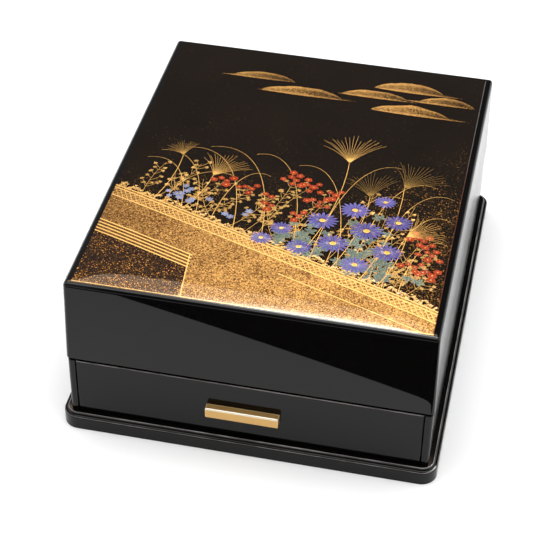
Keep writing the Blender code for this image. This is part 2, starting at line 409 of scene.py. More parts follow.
def node_copy(name, source, ease):
    """A merged, smooth copy of a CAD node's mesh, under a name of its own."""
    bm = bmesh.new()
    bm.from_mesh(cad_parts[source].data)
    bmesh.ops.remove_doubles(bm, verts=bm.verts, dist=1e-6)
    bmesh.ops.dissolve_limit(bm, angle_limit=radians(0.4), verts=bm.verts, edges=bm.edges)
    made = add_object(name, bm)
    eased = made.modifiers.new("eased", "BEVEL")
    eased.width = ease
    eased.segments = 3
    eased.limit_method = "ANGLE"
    eased.angle_limit = radians(50)
    eased.use_clamp_overlap = True
    smooth(made.data)
    soften_normals(made)
    return made


def quarter_steps(radius, segments, hollow=False):
    """Inward and upward steps over a quarter round, or up a quarter-round hollow."""
    angles = [pi / 2 * i / segments for i in range(segments + 1)]
    if hollow:
        points = [(radius * sin(a), radius * (1 - cos(a))) for a in angles]
    else:
        points = [(-radius * cos(a), radius * sin(a)) for a in angles]
    return [(x1 - x0, z1 - z0) for (x0, z0), (x1, z1) in zip(points, points[1:])]


class BOX_OT_base(bpy.types.Operator):
    """Make the moulded base"""
    bl_idname = "lacquer_box.base"
    bl_label = "Base"

    def execute(self, context):
        shape = context.scene.box_base
        low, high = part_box("base")
        face = high[2] - shape.arris - shape.cove - shape.bead
        bm = box_bmesh(low, (high[0], high[1], face))
        bevel(bm, [e for e in bm.edges if abs((e.verts[0].co - e.verts[1].co).normalized().z) > 0.9],
              shape.corner, 24)
        top = max(bm.faces, key=lambda f: f.calc_center_median().z)
        steps = quarter_steps(shape.arris, 6) + quarter_steps(shape.cove, 7, hollow=True)
        for inward, upward in steps + quarter_steps(shape.bead, 4):
            bmesh.ops.inset_region(bm, faces=[top], thickness=inward, depth=upward, use_even_offset=True)
        bmesh.ops.recalc_face_normals(bm, faces=bm.faces)
        piece = add_object("moulded_base", bm)
        smooth(piece.data)
        soften_normals(piece)
        piece = make_plain(piece)

        def moulding_lines(x, y, _):
            """Painted highlights: 1 along the bead and, weaker, along the arris of the upright face."""
            ax = (abs(x) - (high[0] - shape.corner)).most(0.0)
            ay = (abs(y) - (high[1] - shape.corner)).most(0.0)
            inset = shape.corner - (ax * ax + ay * ay) ** 0.5
            bead, arris = [(0.22 * MM - abs(inset - at)).step(0.14 * MM) for at in
                           (shape.arris + shape.cove + 0.5 * shape.bead, 0.5 * shape.arris)]
            return bead.most(0.6 * arris)

        piece.data.materials.append(lacquer_material("base_lacquer", moulding_lines, sides=False))
        finish_piece(piece, "box", ["base"])
        return {"FINISHED"}


def polish(piece, gloss, outside):
    """Polished lacquer on the faces whose middles are outside, and satin on the others."""
    piece.data.materials.append(gloss)
    piece.data.materials.append(satin_material())
    for face in piece.data.polygons:
        face.material_index = 0 if outside(*face.center) else 1


class BOX_OT_case(bpy.types.Operator):
    """Make the carcass, polished outside and satin inside"""
    bl_idname = "lacquer_box.case"
    bl_label = "Carcass"

    def execute(self, context):
        low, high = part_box("case")
        skin = 3.1 * MM                # faces nearer to the carcass's outer planes than this are polished
        piece = make_plain(node_copy("carcass", "case", 0.5 * MM))
        # A faint painted highlight along the carcass's outer edges.
        gloss = lacquer_material("carcass_lacquer", lambda x, y, z: 0.25 * edge_nearness(
            x, y, z, low, high).ramp(0.9 * MM, 0.3 * MM))
        polish(piece, gloss, lambda x, y, z: max(abs(x) - high[0], abs(y) - high[1]) > -skin)
        finish_piece(piece, "box", ["case"])
        return {"FINISHED"}


def top_edge():
    """Height of the lid's top along its edge."""
    shape = bpy.context.scene.box_lid
    return LID_HIGH[2] - shape.crown - shape.relief


def lid_top(x, y):
    """Height of the lid's crowned top over a point."""
    half_x, half_y = top_half_sizes()
    return top_edge() + bpy.context.scene.box_lid.crown * (1 - (x / half_x) ** 8) * (1 - (y / half_y) ** 10)


def top_half_sizes():
    """Half the width and depth of the lid's top, inside the lean of its walls."""
    shape = bpy.context.scene.box_lid
    lean = shape.batter * (top_edge() - LID_LOW[2])
    return LID_HIGH[0] - lean, LID_HIGH[1] - lean


def lid_shell(across, along):
    """The lid's outer skin: a gridded crowned top and four leaning walls, with its arrises weighted."""
    half_x, half_y = top_half_sizes()
    bm = bmesh.new()
    spread = Matrix.Translation((0, 0, top_edge())) @ Matrix.Diagonal((half_x, half_y, 1, 1))
    bmesh.ops.create_grid(bm, x_segments=across, y_segments=along, size=1.0, matrix=spread)
    weight = bm.edges.layers.float.new("bevel_weight_edge")
    rim = [e for e in bm.edges if e.is_boundary]
    made = bmesh.ops.extrude_edge_only(bm, edges=rim)["geom"]
    hem = {g for g in made if isinstance(g, bmesh.types.BMVert)}
    for edge in bm.edges:
        x, y = [abs(c) for c in edge.verts[0].co.xy]
        at_corner = half_x - x < 1e-6 and half_y - y < 1e-6
        upright = len(hem.intersection(edge.verts)) == 1
        if edge in rim or (upright and at_corner):
            edge[weight] = 1.0
    for v in bm.verts:
        if v in hem:
            v.co = v.co.x * LID_HIGH[0] / half_x, v.co.y * LID_HIGH[1] / half_y, LID_LOW[2]
        else:
            v.co.z = lid_top(v.co.x, v.co.y)
    bmesh.ops.recalc_face_normals(bm, faces=bm.faces)
    return bm


BANK_SLOPE = -0.353                    # rise of the gold bank's upper edge for each unit to the right
BANK_MIDDLE = -88.2 * MM               # its height on the lid at the middle
BANK_LENGTH = hypot(1, BANK_SLOPE)


def across_bank(x, y):
    """Distance below the bank's upper edge, square to it."""
    return (BANK_SLOPE * x + BANK_MIDDLE - y) / BANK_LENGTH


def along_bank(x, y):
    """Distance along the bank's upper edge."""
    return (x + BANK_SLOPE * y) / BANK_LENGTH


RULE_STEP = 3.1 * MM                   # between the rules beside the dark corner
CORNER_START = 51.5 * MM               # how far below the bank's edge the dark corner begins
CORNER_RIGHT = -50.5 * MM              # where the dark corner ends on the right
CORNER_CUT = 39 * MM                   # how far below the bank's edge the line on its right begins
RIGHT_RULE = (24.0 * MM, 12.0 * MM)    # the rule on the right: how far below that edge, and its left end
EDGING = (2.6 * MM, 11.0 * MM)         # how far below the bank's edge the lattice band begins and ends
LATTICE = 4.2 * MM                     # width of the lattice's lozenges
CLOUDS = (       # middle x and lower edge's y, half length and height in millimetres, and shift of the back
    (-52, 117, 34, 8.5, -0.10), (-10, 101, 44, 12.0, 0.12), (76, 124, 38, 14.0, 0.22),
    (94, 112, 30, 10.0, -0.20), (46, 110, 36, 10.5, 0.10), (82, 93, 42, 13.0, 0.24),
)


def cloud_masks(tree, x, y, vector):
    """Long clouds with arched backs, thinning below and to the right: weight, and how bright the gold is."""
    ripple = (noise(tree, vector, 60.0, 2.0) - 0.5) * 2.0
    shades, glows = [], []
    for cx, cy, half, rise, shift in CLOUDS:
        u = (x - cx * MM) / (half * MM)
        span = (1 - u * u).most(0.0)
        back = u + shift
        dome = (1 - back * back * 1.9).most(0.0) ** 0.75
        top = dome * (0.80 * rise * MM) * (1 + 0.35 * ripple) + span ** 0.7 * (2.0 * MM) + 0.0001 * MM
        low = span * (-0.12 * rise * MM)
        dy = y - cy * MM
        inside = (top - dy).ramp(0.0, 0.35 * MM) * (dy - low).ramp(0.0, 0.8 * MM) * span.ramp(0.0, 0.05)
        share = dy / top
        far = u.ramp(-0.7, 0.7)
        rims = share.ramp(0.50, 1.0) + share.ramp(0.24, -0.05)
        shades.append(inside * (0.50 - 0.26 * far + 0.36 * rims))
        glows.append(inside * (1 - 0.65 * far))
    shade, glow = reduce(Wire.most, shades), reduce(Wire.most, glows)
    grain = noise(tree, vector, 1900.0, 1.0)
    return (shade + (grain - 0.5) * 2.0 * shade.ramp(0.0, 0.3)).ramp(0.26, 0.72), glow


def panel_masks(x, y, z):
    """1 on the picture, not on the borders and sides; on the thin lines beside it; and on the outer edges."""
    shape = bpy.context.scene.box_lid
    half_x, half_y = top_half_sizes()
    in_x = half_x - shape.side_border - abs(x)
    in_y = (half_y - shape.back_border - y).least(half_y - shape.front_border + y)
    top = (z - (top_edge() - 0.55 * MM)).step()
    line = (0.28 * MM - abs(in_x)).step(0.12 * MM) * in_y.ramp(0.0, 0.2 * MM)
    outer = (0.35 * MM - abs(z - (top_edge() - shape.arris))).step(0.2 * MM)
    outer = outer * (abs(x) - half_x + 0.8 * MM).step(0.2 * MM)
    return in_x.least(in_y).step(0.08 * MM) * top, line * top, outer


def gold_grain(tree, x, vector):
    """Colour of the granular gold ground, and its lightness."""
    look = bpy.context.scene.box_picture
    coarse, fine = [cells(tree, vector, scale)[1] for scale in (1250.0, 2500.0)]
    cloud = noise(tree, vector, 40.0, 3.0)
    soft = noise(tree, vector, 900.0, 2.0, 0.6)
    across = x.ramp(-0.12, -0.02)
    value = 0.30 * coarse + 0.26 * fine + 0.90 * (soft - 0.28) + 0.26 * (cloud - 0.5) + 0.07 * across - 0.03
    return mixed(tree, value.ramp(0.24, 1.00), look.deep_gold, look.gold), value


def flakes_mask(tree, vector, dense):
    """Weight of the loose flakes in the dark ground."""
    spread, own = cells(tree, vector, 1150.0)
    fine_spread, fine_own = cells(tree, vector, 2300.0)
    density = (noise(tree, vector, 30.0, 5.0, 0.65) - 0.5) * 0.55 + dense
    big = (own + density.most(0.030)).ramp(1.00, 1.14) * spread.ramp(0.60, 0.25)
    small = (fine_own + density).ramp(0.96, 1.16) * fine_spread.ramp(0.60, 0.25)
    return big.most(0.60 * small)


def picture_material():
    """The lid: black lacquer, and on its top a dusted ground, a gold bank with a dark corner, and clouds."""
    look = bpy.context.scene.box_picture
    front_border = bpy.context.scene.box_lid.front_border
    material, tree, shader = under_lacquer("sprinkled_lid", 0.02)
    x, y, z, vector = coordinates(tree)
    _, half_y = top_half_sizes()
    below = across_bank(x, y)
    along = along_bank(x, y)
    panel, border_line, outer_line = panel_masks(x, y, z)
    left = (CORNER_RIGHT - x).step()
    corner = (below - CORNER_START).step() * left
    bank = below.step(0.12 * MM) * (1 - corner)
    grain_color, grain = gold_grain(tree, x, vector)
    edging = (below - EDGING[0]).step() * (EDGING[1] - below).step()
    lozenges = [abs((d * (1 / LATTICE)).fraction() - 0.5) for d in (along + below, along - below)]
    lattice = lozenges[0].most(lozenges[1]).ramp(0.40, 0.46) * edging
    gap = abs(((CORNER_START - below) / RULE_STEP).fraction() - 0.5).ramp(0.40, 0.20)
    gap = gap * (below - CORNER_START + 4 * RULE_STEP).step() * (CORNER_START - below).step() * left
    shaded = mixed(tree, gap * 0.62, grain_color, look.deep_gold)
    bank_color = mixed(tree, lattice * 0.7, shaded, look.line_gold)
    right = x.ramp(0.02, 0.12) * y.ramp(0.10, -0.03)
    front = y.ramp(0.09, -0.05)
    lip_near = y.ramp(-half_y + 18 * MM, -half_y + 4 * MM) * corner
    flakes = flakes_mask(tree, vector, -0.07 + 0.16 * front + 0.09 * right + 0.12 * corner + 0.14 * lip_near)
    ground = mixed(tree, noise(tree, vector, 16.0, 4.0), 0.75 * look.ground, 1.25 * look.ground)
    ground = mixed(tree, corner * 0.8, ground, look.corner)
    color = mixed(tree, flakes, ground, mixed(tree, corner * 0.7, look.dust, look.corner_dust))
    clouds, glow = cloud_masks(tree, x, y, vector)
    cloud_grain = noise(tree, vector, 1500.0, 1.0).ramp(0.30, 0.62)
    cloud_color = mixed(tree, cloud_grain * (0.35 + 0.65 * glow), look.cloud, 0.88 * look.gold)
    color = mixed(tree, clouds, color, cloud_color)
    color = mixed(tree, bank, color, bank_color)
    # strip masks a painted reflection: a paler band on the border at the left of the top.
    strip = (x * -1.0 - 0.10).ramp(0.0, 0.02) * (z - (top_edge() - 3.0 * MM)).ramp(0.0, 1.0 * MM)
    border = mixed(tree, strip, bpy.context.scene.box_lacquer.black, look.strip)
    color = mixed(tree, panel, border, color)
    # The line beside the picture on the right is reddish at the front and turns into a painted grey highlight
    # towards the back.
    line_color = mixed(tree, y.ramp(-0.02, 0.10), look.frame_front, look.frame_back_highlight)
    color = mixed(tree, border_line * x.ramp(-0.01, 0.01), color, line_color)
    color = mixed(tree, outer_line, color, look.wear)
    lip = (0.45 * MM - abs(y + half_y - front_border - 0.4 * MM)).step(0.15 * MM) * panel
    color = mixed(tree, lip * (0.40 + 0.60 * grain.ramp(0.25, 0.65)), color, look.lip)
    feed(tree, shader, {"Base Color": color, "Metallic": panel * bank.most(clouds).most(flakes) * 0.4,
                        "Roughness": 0.5 - 0.1 * grain})
    return material


class BOX_OT_lid(bpy.types.Operator):
    """Make the deep lid with its crowned, sprinkled top"""
    bl_idname = "lacquer_box.lid"
    bl_label = "Lid"

    def execute(self, context):
        shape = context.scene.box_lid
        piece = add_object("sprinkled_lid", lid_shell(40, 50))
        piece.data.shade_smooth()
        wall = piece.modifiers.new("wall", "SOLIDIFY")
        wall.thickness = shape.wall
        wall.offset = -1.0
        wall.use_even_offset = True
        arris = piece.modifiers.new("arrises", "BEVEL")
        arris.limit_method = "WEIGHT"
        arris.width = shape.arris
        arris.segments = 8
        soften_normals(piece)
        piece = make_plain(piece)
        piece.data.materials.append(picture_material())
        piece.data.materials.append(side_material())
        skin = 3.2 * MM                # the side walls' outer faces are nearer to the lid's sides than this
        for face in piece.data.polygons:
            at_side = abs(face.normal.x) > 0.985 and abs(face.center.x) > LID_HIGH[0] - skin
            face.material_index = 1 if at_side else 0
        finish_piece(piece, "box", ["lid"])
        return {"FINISHED"}


class BOX_OT_drawer(bpy.types.Operator):
    """Make the drawer"""
    bl_idname = "lacquer_box.drawer"
    bl_label = "Drawer"

    def execute(self, context):
        low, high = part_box("drawer")
        front = 7.9 * MM               # the drawer's front is polished to this depth
        piece = make_plain(node_copy("drawer_body", "drawer", 0.8 * MM))
        # A painted highlight along the top edge of the drawer's front.
        gloss = lacquer_material(
            "drawer_lacquer", lambda x, y, z: (high[2] - z).most(y - low[1]).ramp(0.8 * MM, 0.3 * MM))
        polish(piece, gloss, lambda x, y, z: y < low[1] + front)
        finish_piece(piece, "drawer", ["drawer"])
        return {"FINISHED"}


def new_tree(name, inputs):
    """A Geometry Nodes tree with named inputs; returns it with their Wires."""
    tree = bpy.data.node_groups.new(name, "GeometryNodeTree")
    tree.interface.new_socket("Geometry", in_out="INPUT", socket_type="NodeSocketGeometry")
    for label, kind in inputs:
        tree.interface.new_socket(label, in_out="INPUT", socket_type="NodeSocket" + kind)
    tree.interface.new_socket("Geometry", in_out="OUTPUT", socket_type="NodeSocketGeometry")
    entry = tree.nodes.new("NodeGroupInput")
    return tree, {s.name: Wire(tree, s) for s in entry.outputs if s.name}


def end_tree(tree, geometry, material):
    """Realizes the instances, sets the material and ends the tree."""
    whole = node(tree, "GeometryNodeRealizeInstances", None, {"Geometry": geometry})
    painted = node(tree, "GeometryNodeSetMaterial", None, {"Geometry": whole, "Material": material})
    last = tree.nodes.new("NodeGroupOutput")
    tree.links.new(painted.socket, last.inputs[0])


def attribute(tree, name):
    """A number that the points carry."""
    return node(tree, "GeometryNodeInputNamedAttribute", {"data_type": "FLOAT"}, {"Name": name})


def store(tree, geometry, name, value):
    """Keeps a number on the points."""
    return node(tree, "GeometryNodeStoreNamedAttribute", {"data_type": "FLOAT", "domain": "POINT"},
                {"Geometry": geometry, "Name": name, "Value": value})


def vector_of(tree, x, y, z):
    """A vector from three numbers or Wires."""
    return node(tree, "ShaderNodeCombineXYZ", None, {0: x, 1: y, 2: z})


def on_points(tree, points, instance, angle, scale):
    """Copies of an instance on points, turned about Z."""
    return node(tree, "GeometryNodeInstanceOnPoints", None, {
        "Points": points, "Instance": instance, "Rotation": vector_of(tree, 0.0, 0.0, angle), "Scale": scale})


def fan_line(tree, count, spread, shortest, longest, seed):
    """Points at the origin, one for each petal or awn: the points, each one's share, angle and length."""
    line = node(tree, "GeometryNodeMeshLine", None, {"Count": count, "Offset": (0.0, 0.0, 0.0)})
    share = node(tree, "GeometryNodeInputIndex") / (count - 1.0).most(1.0)
    length = node(tree, "FunctionNodeRandomValue", {"data_type": "FLOAT"},
                  {2: shortest, 3: longest, "Seed": seed}, 1)
    return line, share, (share - 0.5) * spread, length


def on_figures(tree, given, instance):
    """A figure on every given point, by the point's radius and turn."""
    radius = attribute(tree, "radius")
    return on_points(tree, given["Geometry"], instance, attribute(tree, "turn"),
                     vector_of(tree, radius, radius, 1.0))


def ribbons(tree, lines, thickness):
    """A flat solid ribbon along every curve, by its points' widths."""
    level = node(tree, "GeometryNodeSetCurveNormal", {"mode": "Z_UP"}, {"Curve": lines})
    profile = node(tree, "GeometryNodeCurvePrimitiveQuadrilateral", None, {"Width": 1.0, "Height": thickness})
    return node(tree, "GeometryNodeCurveToMesh", None, {
        "Curve": level, "Profile Curve": profile, "Scale": attribute(tree, "width"), "Fill Caps": True})


def figure_tree():
    """Flowers and leaves: a ring or fan of solid petals on every point."""
    tree, given = new_tree("figures", (
        ("Petals", "Int"), ("Spread", "Float"), ("Heart", "Float"), ("Width", "Float"), ("Tip", "Float"),
        ("Droop", "Float"), ("Height", "Float"), ("Steps", "Int"), ("Seed", "Int"), ("Material", "Material")))
    block = node(tree, "GeometryNodeMeshCube", None, {
        "Size": (1.0, 1.0, 1.0), "Vertices X": given["Steps"], "Vertices Y": 3, "Vertices Z": 2})
    x, y, z = parts_of(tree, node(tree, "GeometryNodeInputPosition"))
    block = store(tree, block, "reach", x + 0.5)
    block = store(tree, block, "across", abs(y) * 2.0)
    reach = attribute(tree, "reach")
    across = attribute(tree, "across")
    outline = ((reach ** given["Tip"]) * pi).sine().most(0.0)
    half = 0.10 + 0.90 * outline ** 0.65
    shaped = node(tree, "GeometryNodeSetPosition", None, {"Geometry": block, "Position": vector_of(
        tree, given["Heart"] + (1.0 - given["Heart"]) * reach, y * given["Width"] * half,
        (z + 0.5) * given["Height"] * (1.0 - 0.45 * across * across))})
    line, share, angle, varied = fan_line(tree, given["Petals"], given["Spread"], 0.90, 1.04, given["Seed"])
    length = varied * (1.0 - given["Droop"] * abs(share - 0.5) * 2.0)
    ring = on_points(tree, line, shaped, angle, vector_of(tree, length, length, 1.0))
    end_tree(tree, on_figures(tree, given, ring), given["Material"])
    return tree


def stroke_tree():
    """Drawn lines: a ribbon along every chain of edges."""
    tree, given = new_tree("strokes", (("Thickness", "Float"), ("Material", "Material")))
    lines = node(tree, "GeometryNodeMeshToCurve", None, {"Mesh": given["Geometry"]})
    end_tree(tree, ribbons(tree, lines, given["Thickness"]), given["Material"])
    return tree


def plume_tree():
    """Seed heads of pampas grass: a fan of drooping awns on every point."""
    tree, given = new_tree("plumes", (
        ("Awns", "Int"), ("Spread", "Float"), ("Curl", "Float"), ("Width", "Float"), ("Seed", "Int"),
        ("Material", "Material")))
    awn = node(tree, "GeometryNodeCurveQuadraticBezier", None, {
        "Resolution": 10, "Start": (0.0, 0.0, 0.0), "Middle": (0.62, 0.02, 0.0), "End": (0.98, 0.25, 0.0)})
    along = node(tree, "GeometryNodeSplineParameter")
    awn = store(tree, awn, "width", given["Width"] * (1.0 - 0.55 * along))
    line, share, angle, length = fan_line(tree, given["Awns"], given["Spread"], 0.78, 1.06, given["Seed"])
    side = (share - 0.5) * 2.0 * given["Curl"]
    fan = on_points(tree, line, awn, angle, vector_of(tree, length, side, 1.0))
    lines = node(tree, "GeometryNodeRealizeInstances", None, {"Geometry": on_figures(tree, given, fan)})
    end_tree(tree, ribbons(tree, lines, 0.45), given["Material"])
    return tree


def grow(name, source, tree, values, lift, squash=1.0):
    """Runs a tree on a mesh of points or lines, and lays the plain mesh that comes of it on the lid."""
    source_object = bpy.data.objects.new(name, source)
    bpy.context.scene.collection.objects.link(source_object)
    modifier = source_object.modifiers.new(name, "NODES")
    modifier.node_group = tree
    for item in tree.interface.items_tree:
        if item.in_out == "INPUT" and item.name in values:
            modifier[item.identifier] = values[item.name]
    piece = make_plain(source_object)
    for vertex in piece.data.vertices:
        x, y, z = vertex.co
        vertex.co = x, y * squash, lid_top(x, y * squash) + lift + z
    piece.data.shade_flat()
    return piece


def carry(mesh, values):
    """Puts numbers on a mesh's points; values holds a list for each name."""
    for name, numbers in values.items():
        mesh.attributes.new(name, "FLOAT", "POINT").data.foreach_set("value", numbers)
    return mesh


def point_mesh(name, figures):
    """Points with a radius, a turn and a tint each; figures holds x, y, radius, turn, tint."""
    mesh = bpy.data.meshes.new(name)
    mesh.from_pydata([(x, y, 0.0) for x, y, *_ in figures], [], [])
    return carry(mesh, {label: [f[place] for f in figures]
                        for place, label in ((2, "radius"), (3, "turn"), (4, "tint"))})


def line_mesh(name, strokes):
    """Chains of edges with a width and a tint at every point.

    strokes holds points, start and end width, tint.
    """
    places, edges, widths, tints = [], [], [], []
    for points, first, last, tint in strokes:
        base = len(places)
        places += [(x, y, 0.0) for x, y in points]
        edges += [(base + i, base + i + 1) for i in range(len(points) - 1)]
        widths += [first + (last - first) * i / (len(points) - 1) for i in range(len(points))]
        tints += [tint] * len(points)
    mesh = bpy.data.meshes.new(name)
    mesh.from_pydata(places, edges, [])
    return carry(mesh, {"width": widths, "tint": tints})


def bezier(corners, samples):
    """Points along a Bezier curve."""
    degree = len(corners) - 1
    points = []
    for i in range(samples):
        t = i / (samples - 1)
        weights = [comb(degree, k) * (1 - t) ** (degree - k) * t ** k for k in range(degree + 1)]
        points.append(tuple(sum(w * c[axis] for w, c in zip(weights, corners)) for axis in (0, 1)))
    return points


def bow(start, end, lean, samples=14):
    """A bowed stem; lean is how far it bends to the left, as a share of its length."""
    (sx, sy), (ex, ey) = start, end
    return bezier((start, ((sx + ex) / 2 - (ey - sy) * lean, (sy + ey) / 2 + (ex - sx) * lean), end), samples)


def arch(root, tip, rise):
    """A blade of grass: up steeply from its root, over, and down to its tip."""
    (rx, ry), (tx, ty) = root, tip
    first = (rx + 0.10 * (tx - rx), ry + 0.75 * (ty + rise - ry))
    second = (rx + 0.55 * (tx - rx), ty + 1.15 * rise)
    return bezier((root, first, second, tip), 26)


def bank_edge(x):
    """Height on the lid of the bank's upper edge."""
    return BANK_SLOPE * x + BANK_MIDDLE


DAISIES = (                            # x, y, radius in millimetres
    (72, -22, 8.6), (52, -36, 11.4), (85, -44, 10.8), (31, -53, 12.0), (64, -58, 12.8), (43, -77, 12.4),
    (82, -79, 11.6), (20, -86, 10.0), (62, -97, 11.0), (4, -68, 8.8), (-8, -82, 8.6),
)
PLUMES = (                             # x, y, length in millimetres, and its direction in degrees from +X
    (38, 20, 35, 94), (83, -2, 33, 64), (60, -18, 30, 98), (-58, -18, 29, 72), (93, -58, 27, 40),
    (-86, 2, 18, 108),
)
BLADES = (                             # root x, tip x, tip y, how far the arch rises above its higher end
    (-72, -112, -6, 6), (-60, -104, 5, 5), (-48, -16, -10, 8), (-30, -86, 12, 8), (-8, -68, 17, 9),
    (16, -32, 15, 9), (30, 78, 21, 5), (50, 2, 8, 9), (60, 106, 3, 9), (74, 121, -8, 9), (84, 122, -34, 9),
    (96, 123, -62, 8), (42, 86, -16, 8), (-86, -42, -16, 8),
)
SPRAYS = (                             # root x, tip x, tip y, lean, number of red flowers at the tip
    (-104, -96, -10, 0.10, 0), (-94, -70, -6, -0.12, 0), (-78, -48, -22, -0.16, 5), (-60, -28, -28, -0.16, 5),
    (-46, -64, -24, 0.14, 0), (-34, -12, -34, -0.14, 2), (-22, 2, -10, -0.12, 7), (-12, 16, -16, 0.12, 7),
    (0, 24, -32, -0.10, 6), (6, -10, -44, 0.16, 3), (14, 34, -22, 0.10, 4), (26, 12, -52, 0.18, 4),
    (40, 62, -14, -0.10, 0), (54, 94, -22, -0.14, 0), (76, 104, -60, -0.14, 7), (84, 112, -75, -0.14, 7),
    (92, 102, -90, 0.10, 6), (100, 115, -96, -0.12, 5), (64, 92, -94, -0.14, 0), (30, 48, -62, 0.12, 0),
    (48, 70, -72, -0.12, 0), (70, 90, -60, 0.10, 0), (-70, -86, -22, 0.14, 0), (86, 76, -38, 0.16, 0),
)


def on_picture(x, y, reach=0.0):
    """Whether a figure at a place stays on the picture with all its reach."""
    shape = bpy.context.scene.box_lid
    half_x, half_y = top_half_sizes()
    room = (half_x - shape.side_border - abs(x), half_y - shape.front_border + y,
            half_y - shape.back_border - y)
    return min(room) > reach


def heading(points, i):
    """Direction in which a stem reaches one of its points."""
    (ax, ay), (bx, by) = points[i - 1], points[i]
    return atan2(by - ay, bx - ax)


class Garden:
    """The picture's figures: the large ones have places of their own, and seeded draws fill in the rest."""

    def __init__(self, look):
        self.random = Random(look.seed)
        self.stems = []
        self.figures = {kind: [] for kind in ("leaflets", "leaves", "reds", "skies", "buds")}
        for spray in SPRAYS:
            self.spray(*spray)
        self.figures["daisies"] = [(x * MM, y * MM, r * MM, self.random.uniform(0, 0.3), self.random.random())
                                   for x, y, r in DAISIES]
        for x, y, _ in DAISIES:
            self.daisy_stem(x, y)
        for root, x, y, rise in BLADES:
            self.stem(arch(self.root(root), (x * MM, y * MM), rise * MM), 0.42, 0.16, 0.10)
        self.plumes = [self.plume(*plume) for plume in PLUMES]
        self.hedge()
        for kind, figures in self.figures.items():
            self.figures[kind] = [f for f in figures if on_picture(*f[:3])]
        self.stems = [s for s in self.stems if all(on_picture(x, y) for x, y in s[0])]

    def root(self, x):
        """A root just above the bank's upper edge."""
        return x * MM, bank_edge(x * MM) + 1.2 * MM

    def stem(self, points, first, last, tint):
        """A drawn line; its widths at the ends are in millimetres."""
        self.stems.append((points, first * MM, last * MM, tint))

    def add(self, kind, x, y, sizes, turn):
        """A figure with a drawn radius, between sizes in millimetres; turn is an angle or its limits."""
        radius = self.random.uniform(*sizes) * MM
        if isinstance(turn, tuple):
            turn = self.random.uniform(*turn)
        self.figures[kind].append((x, y, radius, turn, self.random.random()))

    def spray(self, root, x, y, lean, flowers):
        """A twig with paired leaflets, and red flowers or buds at its tip."""
        draw = self.random
        points = bow(self.root(root), (x * MM, y * MM), lean, 16)
        self.stem(points, 0.36, 0.24, 0.45)
        for i in range(3, 15):
            bx, by = points[i]
            for side in (-1, 1):
                if draw.random() < 0.42:
                    continue
                turn = heading(points, i) + side * draw.uniform(0.45, 1.15)
                reach = draw.uniform(2.5, 9.0) * MM
                tip = (bx + cos(turn) * reach, by + sin(turn) * reach)
                self.stem(bow((bx, by), tip, 0.1 * side, 4), 0.24, 0.20, 0.2)
                for k in (-1, 0, 1):
                    self.add("leaflets", *tip, (1.7, 2.7), turn + k * 0.8)
                if flowers == 0 and i > 8 and draw.random() < 0.6:
                    self.add("buds", tip[0] + cos(turn) * 1.6 * MM, tip[1] + sin(turn) * 1.6 * MM,
                             (0.8, 1.25), turn)
        for k in range(flowers):
            around = 2.4 * k + draw.uniform(-0.3, 0.3)
            away = 1.5 + 2.9 * k ** 0.62
            self.add("reds", (x + away * cos(around)) * MM, (y + away * 0.85 * sin(around)) * MM,
                     (2.4, 3.7), (0, 1.2))

    def daisy_stem(self, x, y):
        """A daisy's stem and its broad leaves."""
        draw = self.random
        root = max(-100, min(112, x + draw.uniform(-16, 6)))
        points = bow(self.root(root), (x * MM, y * MM), draw.uniform(-0.14, 0.14), 14)
        self.stem(points, 0.38, 0.30, 0.70)
        for i in range(2, 12, 2):
            side = 1 if (i // 2) % 2 else -1
            self.add("leaves", *points[i], (6.0, 8.8), heading(points, i) + side * draw.uniform(0.7, 1.2))

    def plume(self, x, y, length, lift):
        """A pampas plume, with its stalk."""
        self.stem(bow(self.root(x - 0.45 * length), (x * MM, y * MM), -0.10, 18), 0.50, 0.38, 0.10)
        return x * MM, y * MM, length * MM, radians(lift), self.random.random()

    def hedge(self):
        """Buds and leaflets along the bank's upper edge, and pale blue flowers and broad leaves above it."""
        draw = self.random
        for i in range(150):
            x = (-122 + 246 * i / 149) * MM
            y = bank_edge(x) + draw.uniform(0.6, 6.5) * MM
            self.add("buds", x, y, (0.9, 1.6), (0, 6.0))
            for _ in range(2):
                self.add("leaflets", x + draw.uniform(-1.5, 1.5) * MM, y - draw.uniform(0.0, 3.0) * MM,
                         (1.8, 3.0), (0.0, 6.28))
        for kind, count, places, heights, sizes, turns in (
                ("skies", 16, (-88, -20), (9, 30), (2.2, 3.6), (0, 1.2)),
                ("leaves", 26, (8, 108), (6, 34), (5.2, 8.2), (0.0, 6.28))):
            for _ in range(count):
                x = draw.uniform(*places) * MM
                self.add(kind, x, bank_edge(x) + draw.uniform(*heights) * MM, sizes, turns)


def painted_material(name, body, rim, metal=0.0):
    """A painted figure: body colour to rim colour towards the petals' edges and tips."""
    material, tree, shader = under_lacquer(name, 0.08, metal)
    tint, reach, across = [node(tree, "ShaderNodeAttribute", {"attribute_name": n}, output=2)
                           for n in ("tint", "reach", "across")]
    grain = noise(tree, coordinates(tree)[3], 1500.0, 1.0)
    edge = across.ramp(0.25, 1.0).most(reach.ramp(0.72, 1.0)) * 0.8
    color = mixed(tree, (edge + 0.35 * (grain - 0.5)).most(0.0).least(1.0), body, rim)
    color = mixed(tree, 0.45 * tint + 0.35 * reach.ramp(0.35, 0.0), color, 0.35 * body)
    feed(tree, shader, {"Base Color": color, "Roughness": 0.42 + 0.15 * grain})
    return material


def line_material(name, light, dark):
    """Drawn gold, light to dark by the tint of each line."""
    material, tree, shader = under_lacquer(name, 0.08, 0.3)
    tint = node(tree, "ShaderNodeAttribute", {"attribute_name": "tint"}, output=2)
    grain = noise(tree, coordinates(tree)[3], 1300.0, 1.0)
    color = mixed(tree, (tint + 0.8 * (grain - 0.5)).most(0.0).least(1.0), light, dark)
    feed(tree, shader, {"Base Color": color, "Roughness": 0.40 + 0.2 * grain})
    return material


